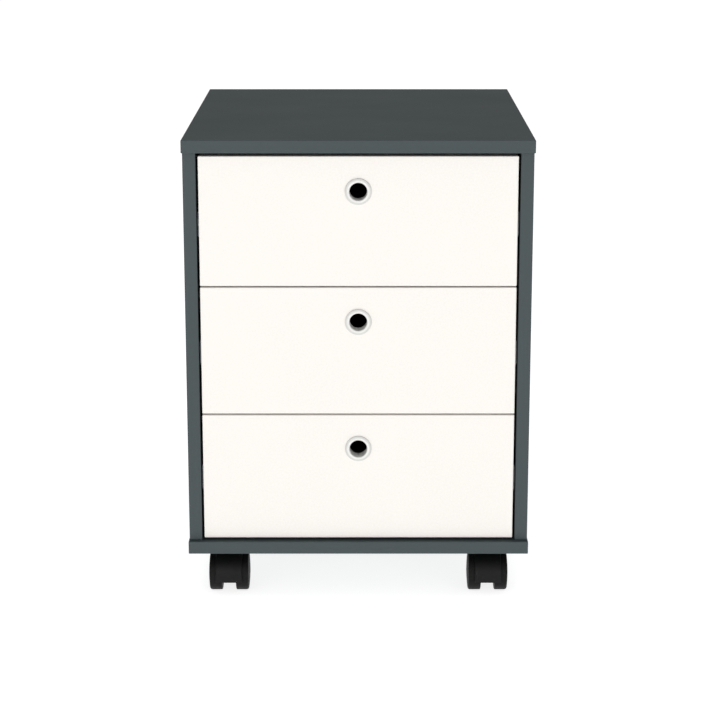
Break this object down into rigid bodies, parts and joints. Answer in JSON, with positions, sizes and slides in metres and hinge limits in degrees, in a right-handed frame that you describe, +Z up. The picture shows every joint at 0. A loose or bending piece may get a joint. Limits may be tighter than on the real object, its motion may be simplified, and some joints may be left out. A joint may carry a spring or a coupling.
{
  "type": "rolling pedestal cabinet",
  "caption": "Low drawer cabinet in graphite and cream white boards on twin-wheel swivel casters; drawers with ringed finger holes run on ball slides.",
  "frame": {"origin": "floor point under the middle of the cabinet", "axes": "+Z up, -Y towards the user who opens the drawers, +X to that user's right when facing the drawers"},
  "size_m": [0.43, 0.5, 0.588],
  "materials": {
    "graphite_board": "matt graphite melamine on chipboard, edges banded to match",
    "graphite_fibreboard": "matt graphite paper foil on thin fibreboard",
    "cream_white_board": "silk cream white melamine on chipboard",
    "white_plastic": "satin moulded plastic, white",
    "light_grey_foil": "matt light grey paper foil on chipboard",
    "grey_fibreboard": "matt light grey paper foil on thin fibreboard",
    "zinc_plated_steel": "zinc plated rolled sheet steel",
    "ball_cage_steel": "oiled spring steel with steel balls",
    "caster_plate_steel": "zinc plated pressed steel",
    "black_hood_plastic": "satin black moulded nylon",
    "black_wheel_plastic": "satin black moulded nylon"
  },
  "bodies": {
    "carcass": {"top_panel": "graphite_board", "bottom_panel": "graphite_board", "left_side_panel": "graphite_board", "right_side_panel": "graphite_board", "back_panel": "graphite_fibreboard", "bottom_drawer_left_cabinet_rail": "zinc_plated_steel", "bottom_drawer_right_cabinet_rail": "zinc_plated_steel", "middle_drawer_left_cabinet_rail": "zinc_plated_steel", "middle_drawer_right_cabinet_rail": "zinc_plated_steel", "top_drawer_left_cabinet_rail": "zinc_plated_steel", "top_drawer_right_cabinet_rail": "zinc_plated_steel", "front_left_caster_plate": "caster_plate_steel", "front_right_caster_plate": "caster_plate_steel", "rear_left_caster_plate": "caster_plate_steel", "rear_right_caster_plate": "caster_plate_steel"},
    "bottom_drawer": {"bottom_drawer_front": "cream_white_board", "bottom_drawer_grip_ring": "white_plastic", "bottom_drawer_left_side": "light_grey_foil", "bottom_drawer_right_side": "light_grey_foil", "bottom_drawer_back": "light_grey_foil", "bottom_drawer_bottom": "grey_fibreboard", "bottom_drawer_left_drawer_rail": "zinc_plated_steel", "bottom_drawer_right_drawer_rail": "zinc_plated_steel"},
    "bottom_drawer_cages": {"bottom_drawer_left_ball_cage": "ball_cage_steel", "bottom_drawer_right_ball_cage": "ball_cage_steel"},
    "middle_drawer": {"middle_drawer_front": "cream_white_board", "middle_drawer_grip_ring": "white_plastic", "middle_drawer_left_side": "light_grey_foil", "middle_drawer_right_side": "light_grey_foil", "middle_drawer_back": "light_grey_foil", "middle_drawer_bottom": "grey_fibreboard", "middle_drawer_left_drawer_rail": "zinc_plated_steel", "middle_drawer_right_drawer_rail": "zinc_plated_steel"},
    "middle_drawer_cages": {"middle_drawer_left_ball_cage": "ball_cage_steel", "middle_drawer_right_ball_cage": "ball_cage_steel"},
    "top_drawer": {"top_drawer_front": "cream_white_board", "top_drawer_grip_ring": "white_plastic", "top_drawer_left_side": "light_grey_foil", "top_drawer_right_side": "light_grey_foil", "top_drawer_back": "light_grey_foil", "top_drawer_bottom": "grey_fibreboard", "top_drawer_left_drawer_rail": "zinc_plated_steel", "top_drawer_right_drawer_rail": "zinc_plated_steel"},
    "top_drawer_cages": {"top_drawer_left_ball_cage": "ball_cage_steel", "top_drawer_right_ball_cage": "ball_cage_steel"},
    "front_left_caster_swivel": {"front_left_caster_hood": "black_hood_plastic"},
    "front_left_caster_left_wheel": {"front_left_caster_left_wheel": "black_wheel_plastic"},
    "front_left_caster_right_wheel": {"front_left_caster_right_wheel": "black_wheel_plastic"},
    "front_right_caster_swivel": {"front_right_caster_hood": "black_hood_plastic"},
    "front_right_caster_left_wheel": {"front_right_caster_left_wheel": "black_wheel_plastic"},
    "front_right_caster_right_wheel": {"front_right_caster_right_wheel": "black_wheel_plastic"},
    "rear_left_caster_swivel": {"rear_left_caster_hood": "black_hood_plastic"},
    "rear_left_caster_left_wheel": {"rear_left_caster_left_wheel": "black_wheel_plastic"},
    "rear_left_caster_right_wheel": {"rear_left_caster_right_wheel": "black_wheel_plastic"},
    "rear_right_caster_swivel": {"rear_right_caster_hood": "black_hood_plastic"},
    "rear_right_caster_left_wheel": {"rear_right_caster_left_wheel": "black_wheel_plastic"},
    "rear_right_caster_right_wheel": {"rear_right_caster_right_wheel": "black_wheel_plastic"}
  },
  "joints": [
    {"name": "bottom_drawer_slide", "type": "slide", "parent": "carcass", "child": "bottom_drawer", "axis": [0, -1, 0], "range_m": [0, 0.34]},
    {"name": "bottom_drawer_cage_slide", "type": "slide", "parent": "carcass", "child": "bottom_drawer_cages", "axis": [0, -1, 0], "range_m": [0, 0.17]},
    {"name": "middle_drawer_slide", "type": "slide", "parent": "carcass", "child": "middle_drawer", "axis": [0, -1, 0], "range_m": [0, 0.34]},
    {"name": "middle_drawer_cage_slide", "type": "slide", "parent": "carcass", "child": "middle_drawer_cages", "axis": [0, -1, 0], "range_m": [0, 0.17]},
    {"name": "top_drawer_slide", "type": "slide", "parent": "carcass", "child": "top_drawer", "axis": [0, -1, 0], "range_m": [0, 0.34]},
    {"name": "top_drawer_cage_slide", "type": "slide", "parent": "carcass", "child": "top_drawer_cages", "axis": [0, -1, 0], "range_m": [0, 0.17]},
    {"name": "front_left_caster_swivel", "type": "hinge", "parent": "carcass", "child": "front_left_caster_swivel", "pos_m": [-0.1655, -0.1973, 0.0575], "axis": [0, 0, 1], "continuous": true},
    {"name": "front_left_caster_left_wheel_spin", "type": "hinge", "parent": "front_left_caster_swivel", "child": "front_left_caster_left_wheel", "pos_m": [-0.183, -0.2133, 0.025], "axis": [1, 0, 0], "continuous": true},
    {"name": "front_left_caster_right_wheel_spin", "type": "hinge", "parent": "front_left_caster_swivel", "child": "front_left_caster_right_wheel", "pos_m": [-0.148, -0.2133, 0.025], "axis": [1, 0, 0], "continuous": true},
    {"name": "front_right_caster_swivel", "type": "hinge", "parent": "carcass", "child": "front_right_caster_swivel", "pos_m": [0.1655, -0.1973, 0.0575], "axis": [0, 0, 1], "continuous": true},
    {"name": "front_right_caster_left_wheel_spin", "type": "hinge", "parent": "front_right_caster_swivel", "child": "front_right_caster_left_wheel", "pos_m": [0.148, -0.2133, 0.025], "axis": [1, 0, 0], "continuous": true},
    {"name": "front_right_caster_right_wheel_spin", "type": "hinge", "parent": "front_right_caster_swivel", "child": "front_right_caster_right_wheel", "pos_m": [0.183, -0.2133, 0.025], "axis": [1, 0, 0], "continuous": true},
    {"name": "rear_left_caster_swivel", "type": "hinge", "parent": "carcass", "child": "rear_left_caster_swivel", "pos_m": [-0.1655, 0.1973, 0.0575], "axis": [0, 0, 1], "continuous": true},
    {"name": "rear_left_caster_left_wheel_spin", "type": "hinge", "parent": "rear_left_caster_swivel", "child": "rear_left_caster_left_wheel", "pos_m": [-0.183, 0.1813, 0.025], "axis": [1, 0, 0], "continuous": true},
    {"name": "rear_left_caster_right_wheel_spin", "type": "hinge", "parent": "rear_left_caster_swivel", "child": "rear_left_caster_right_wheel", "pos_m": [-0.148, 0.1813, 0.025], "axis": [1, 0, 0], "continuous": true},
    {"name": "rear_right_caster_swivel", "type": "hinge", "parent": "carcass", "child": "rear_right_caster_swivel", "pos_m": [0.1655, 0.1973, 0.0575], "axis": [0, 0, 1], "continuous": true},
    {"name": "rear_right_caster_left_wheel_spin", "type": "hinge", "parent": "rear_right_caster_swivel", "child": "rear_right_caster_left_wheel", "pos_m": [0.148, 0.1813, 0.025], "axis": [1, 0, 0], "continuous": true},
    {"name": "rear_right_caster_right_wheel_spin", "type": "hinge", "parent": "rear_right_caster_swivel", "child": "rear_right_caster_right_wheel", "pos_m": [0.183, 0.1813, 0.025], "axis": [1, 0, 0], "continuous": true}
  ],
  "couplings": [
    {"joint": "bottom_drawer_cage_slide", "follows": "bottom_drawer_slide", "ratio": 0.5},
    {"joint": "middle_drawer_cage_slide", "follows": "middle_drawer_slide", "ratio": 0.5},
    {"joint": "top_drawer_cage_slide", "follows": "top_drawer_slide", "ratio": 0.5}
  ]
}
